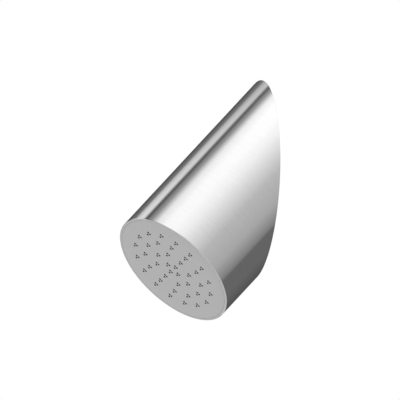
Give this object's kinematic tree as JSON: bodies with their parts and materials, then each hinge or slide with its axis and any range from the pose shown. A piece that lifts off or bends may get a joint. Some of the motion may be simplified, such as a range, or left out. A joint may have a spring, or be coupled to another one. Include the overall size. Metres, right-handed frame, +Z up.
{
  "type": "wall rain shower head",
  "caption": "Slant-cut steel cylinder that stands out from a wall, with a flat drilled spray face, a water chamber, an inlet elbow and a screwed wall plate.",
  "frame": {"origin": "middle of the threaded water inlet, in the wall's surface", "axes": "+Z up along the wall, +Y into the wall, X across; the head stands out towards -Y and sprays down and away from the wall"},
  "size_m": [0.1, 0.1049, 0.1894],
  "materials": {
    "shell_steel": "satin stainless steel, finely brushed round the tube",
    "face_steel": "satin stainless steel sheet",
    "plate_steel": "mill-finish stainless steel plate",
    "fastener_steel": "plain stainless steel",
    "brass": "machined brass",
    "chamber_plastic": "moulded black acetal",
    "nylon": "moulded natural nylon",
    "seal_rubber": "black EPDM rubber"
  },
  "bodies": {
    "root": {"cover_shell": "shell_steel", "lock_nut": "fastener_steel", "lock_screw": "fastener_steel", "spray_face": "face_steel", "centring_pads": "nylon", "chamber_seal": "seal_rubber", "chamber_back": "chamber_plastic", "baffle_disc": "chamber_plastic", "inlet_tail": "brass", "tail_seal": "seal_rubber", "union_nut": "brass", "union_washer": "seal_rubber", "filter_screen": "fastener_steel", "flow_regulator": "nylon", "elbow": "brass", "elbow_screws": "fastener_steel", "wall_plate": "plate_steel", "wall_gasket": "seal_rubber"}
  },
  "joints": []
}
